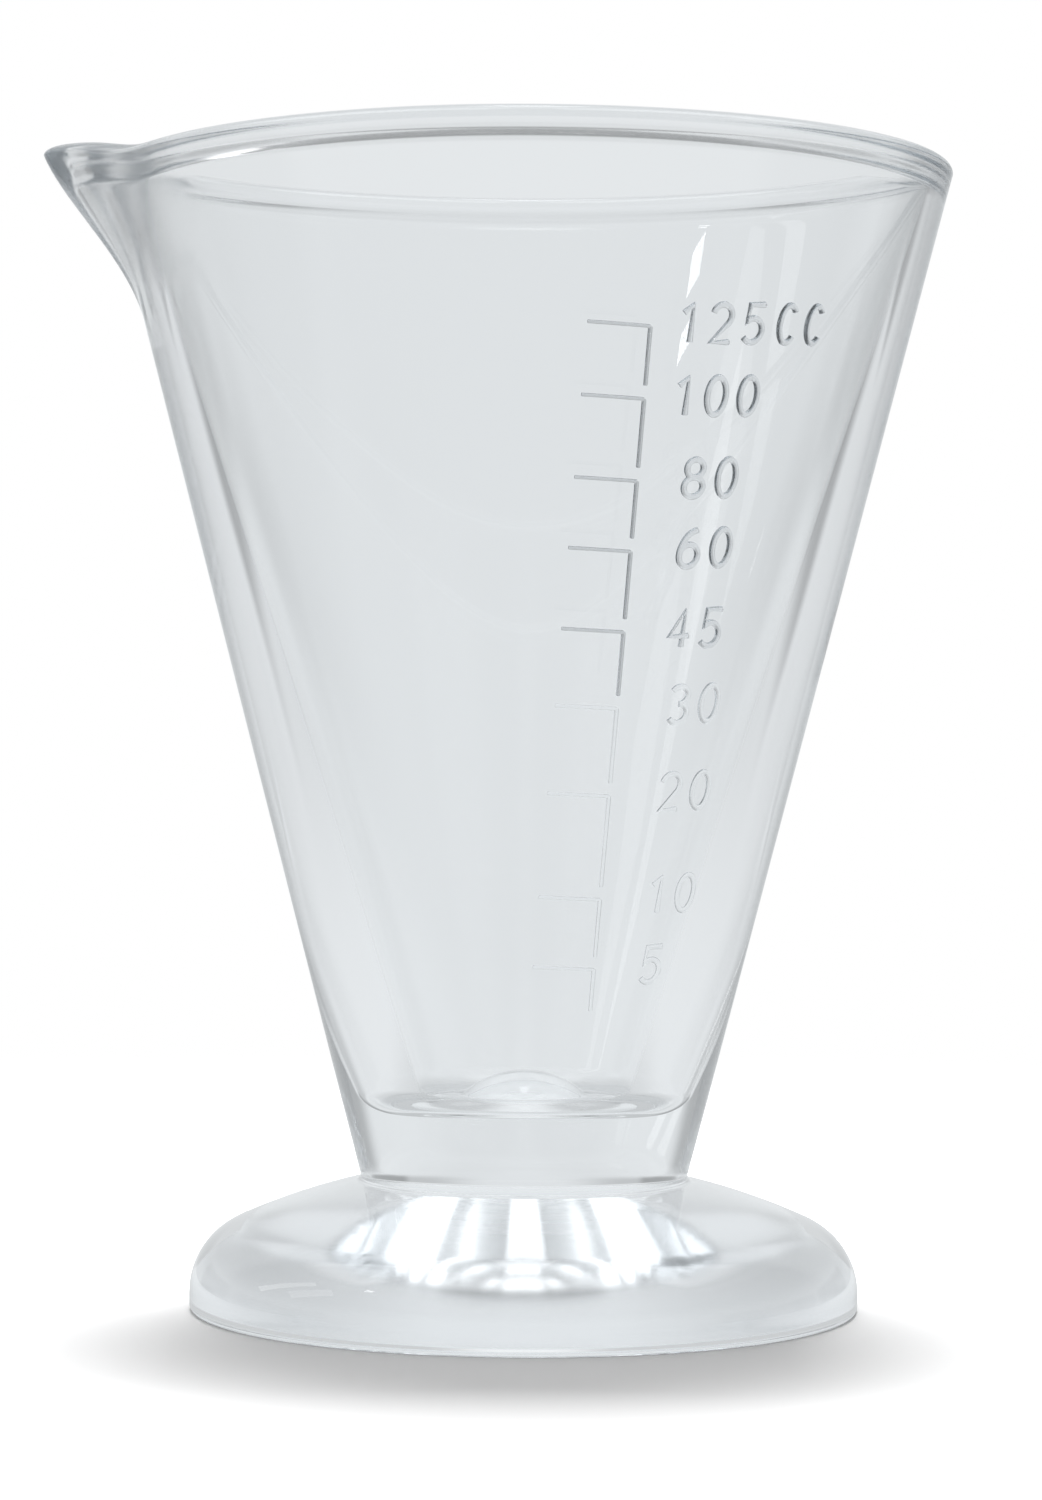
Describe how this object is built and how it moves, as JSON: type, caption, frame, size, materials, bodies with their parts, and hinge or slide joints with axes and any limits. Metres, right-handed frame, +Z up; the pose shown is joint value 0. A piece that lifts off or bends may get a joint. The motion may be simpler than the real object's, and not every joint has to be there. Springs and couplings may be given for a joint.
{
  "type": "conical glass graduate",
  "caption": "Conical clear-glass measure on a solid stem and round domed foot, with a pouring spout and a raised scale in cubic centimetres.",
  "frame": {"origin": "centre of the foot, in the plane that it stands on", "axes": "+Z up along the axis of the cone, -X towards the spout, -Y towards the side with the scale"},
  "size_m": [0.0906, 0.0842, 0.1158],
  "materials": {
    "clear_glass": "fire-polished pressed glass, clear with a faint cool grey tint"
  },
  "bodies": {
    "root": {"bowl": "clear_glass", "stem": "clear_glass", "foot": "clear_glass", "mark_125": "clear_glass", "mark_100": "clear_glass", "mark_80": "clear_glass", "mark_60": "clear_glass", "mark_45": "clear_glass", "mark_30": "clear_glass", "mark_20": "clear_glass", "mark_10": "clear_glass", "mark_5": "clear_glass"}
  },
  "joints": []
}
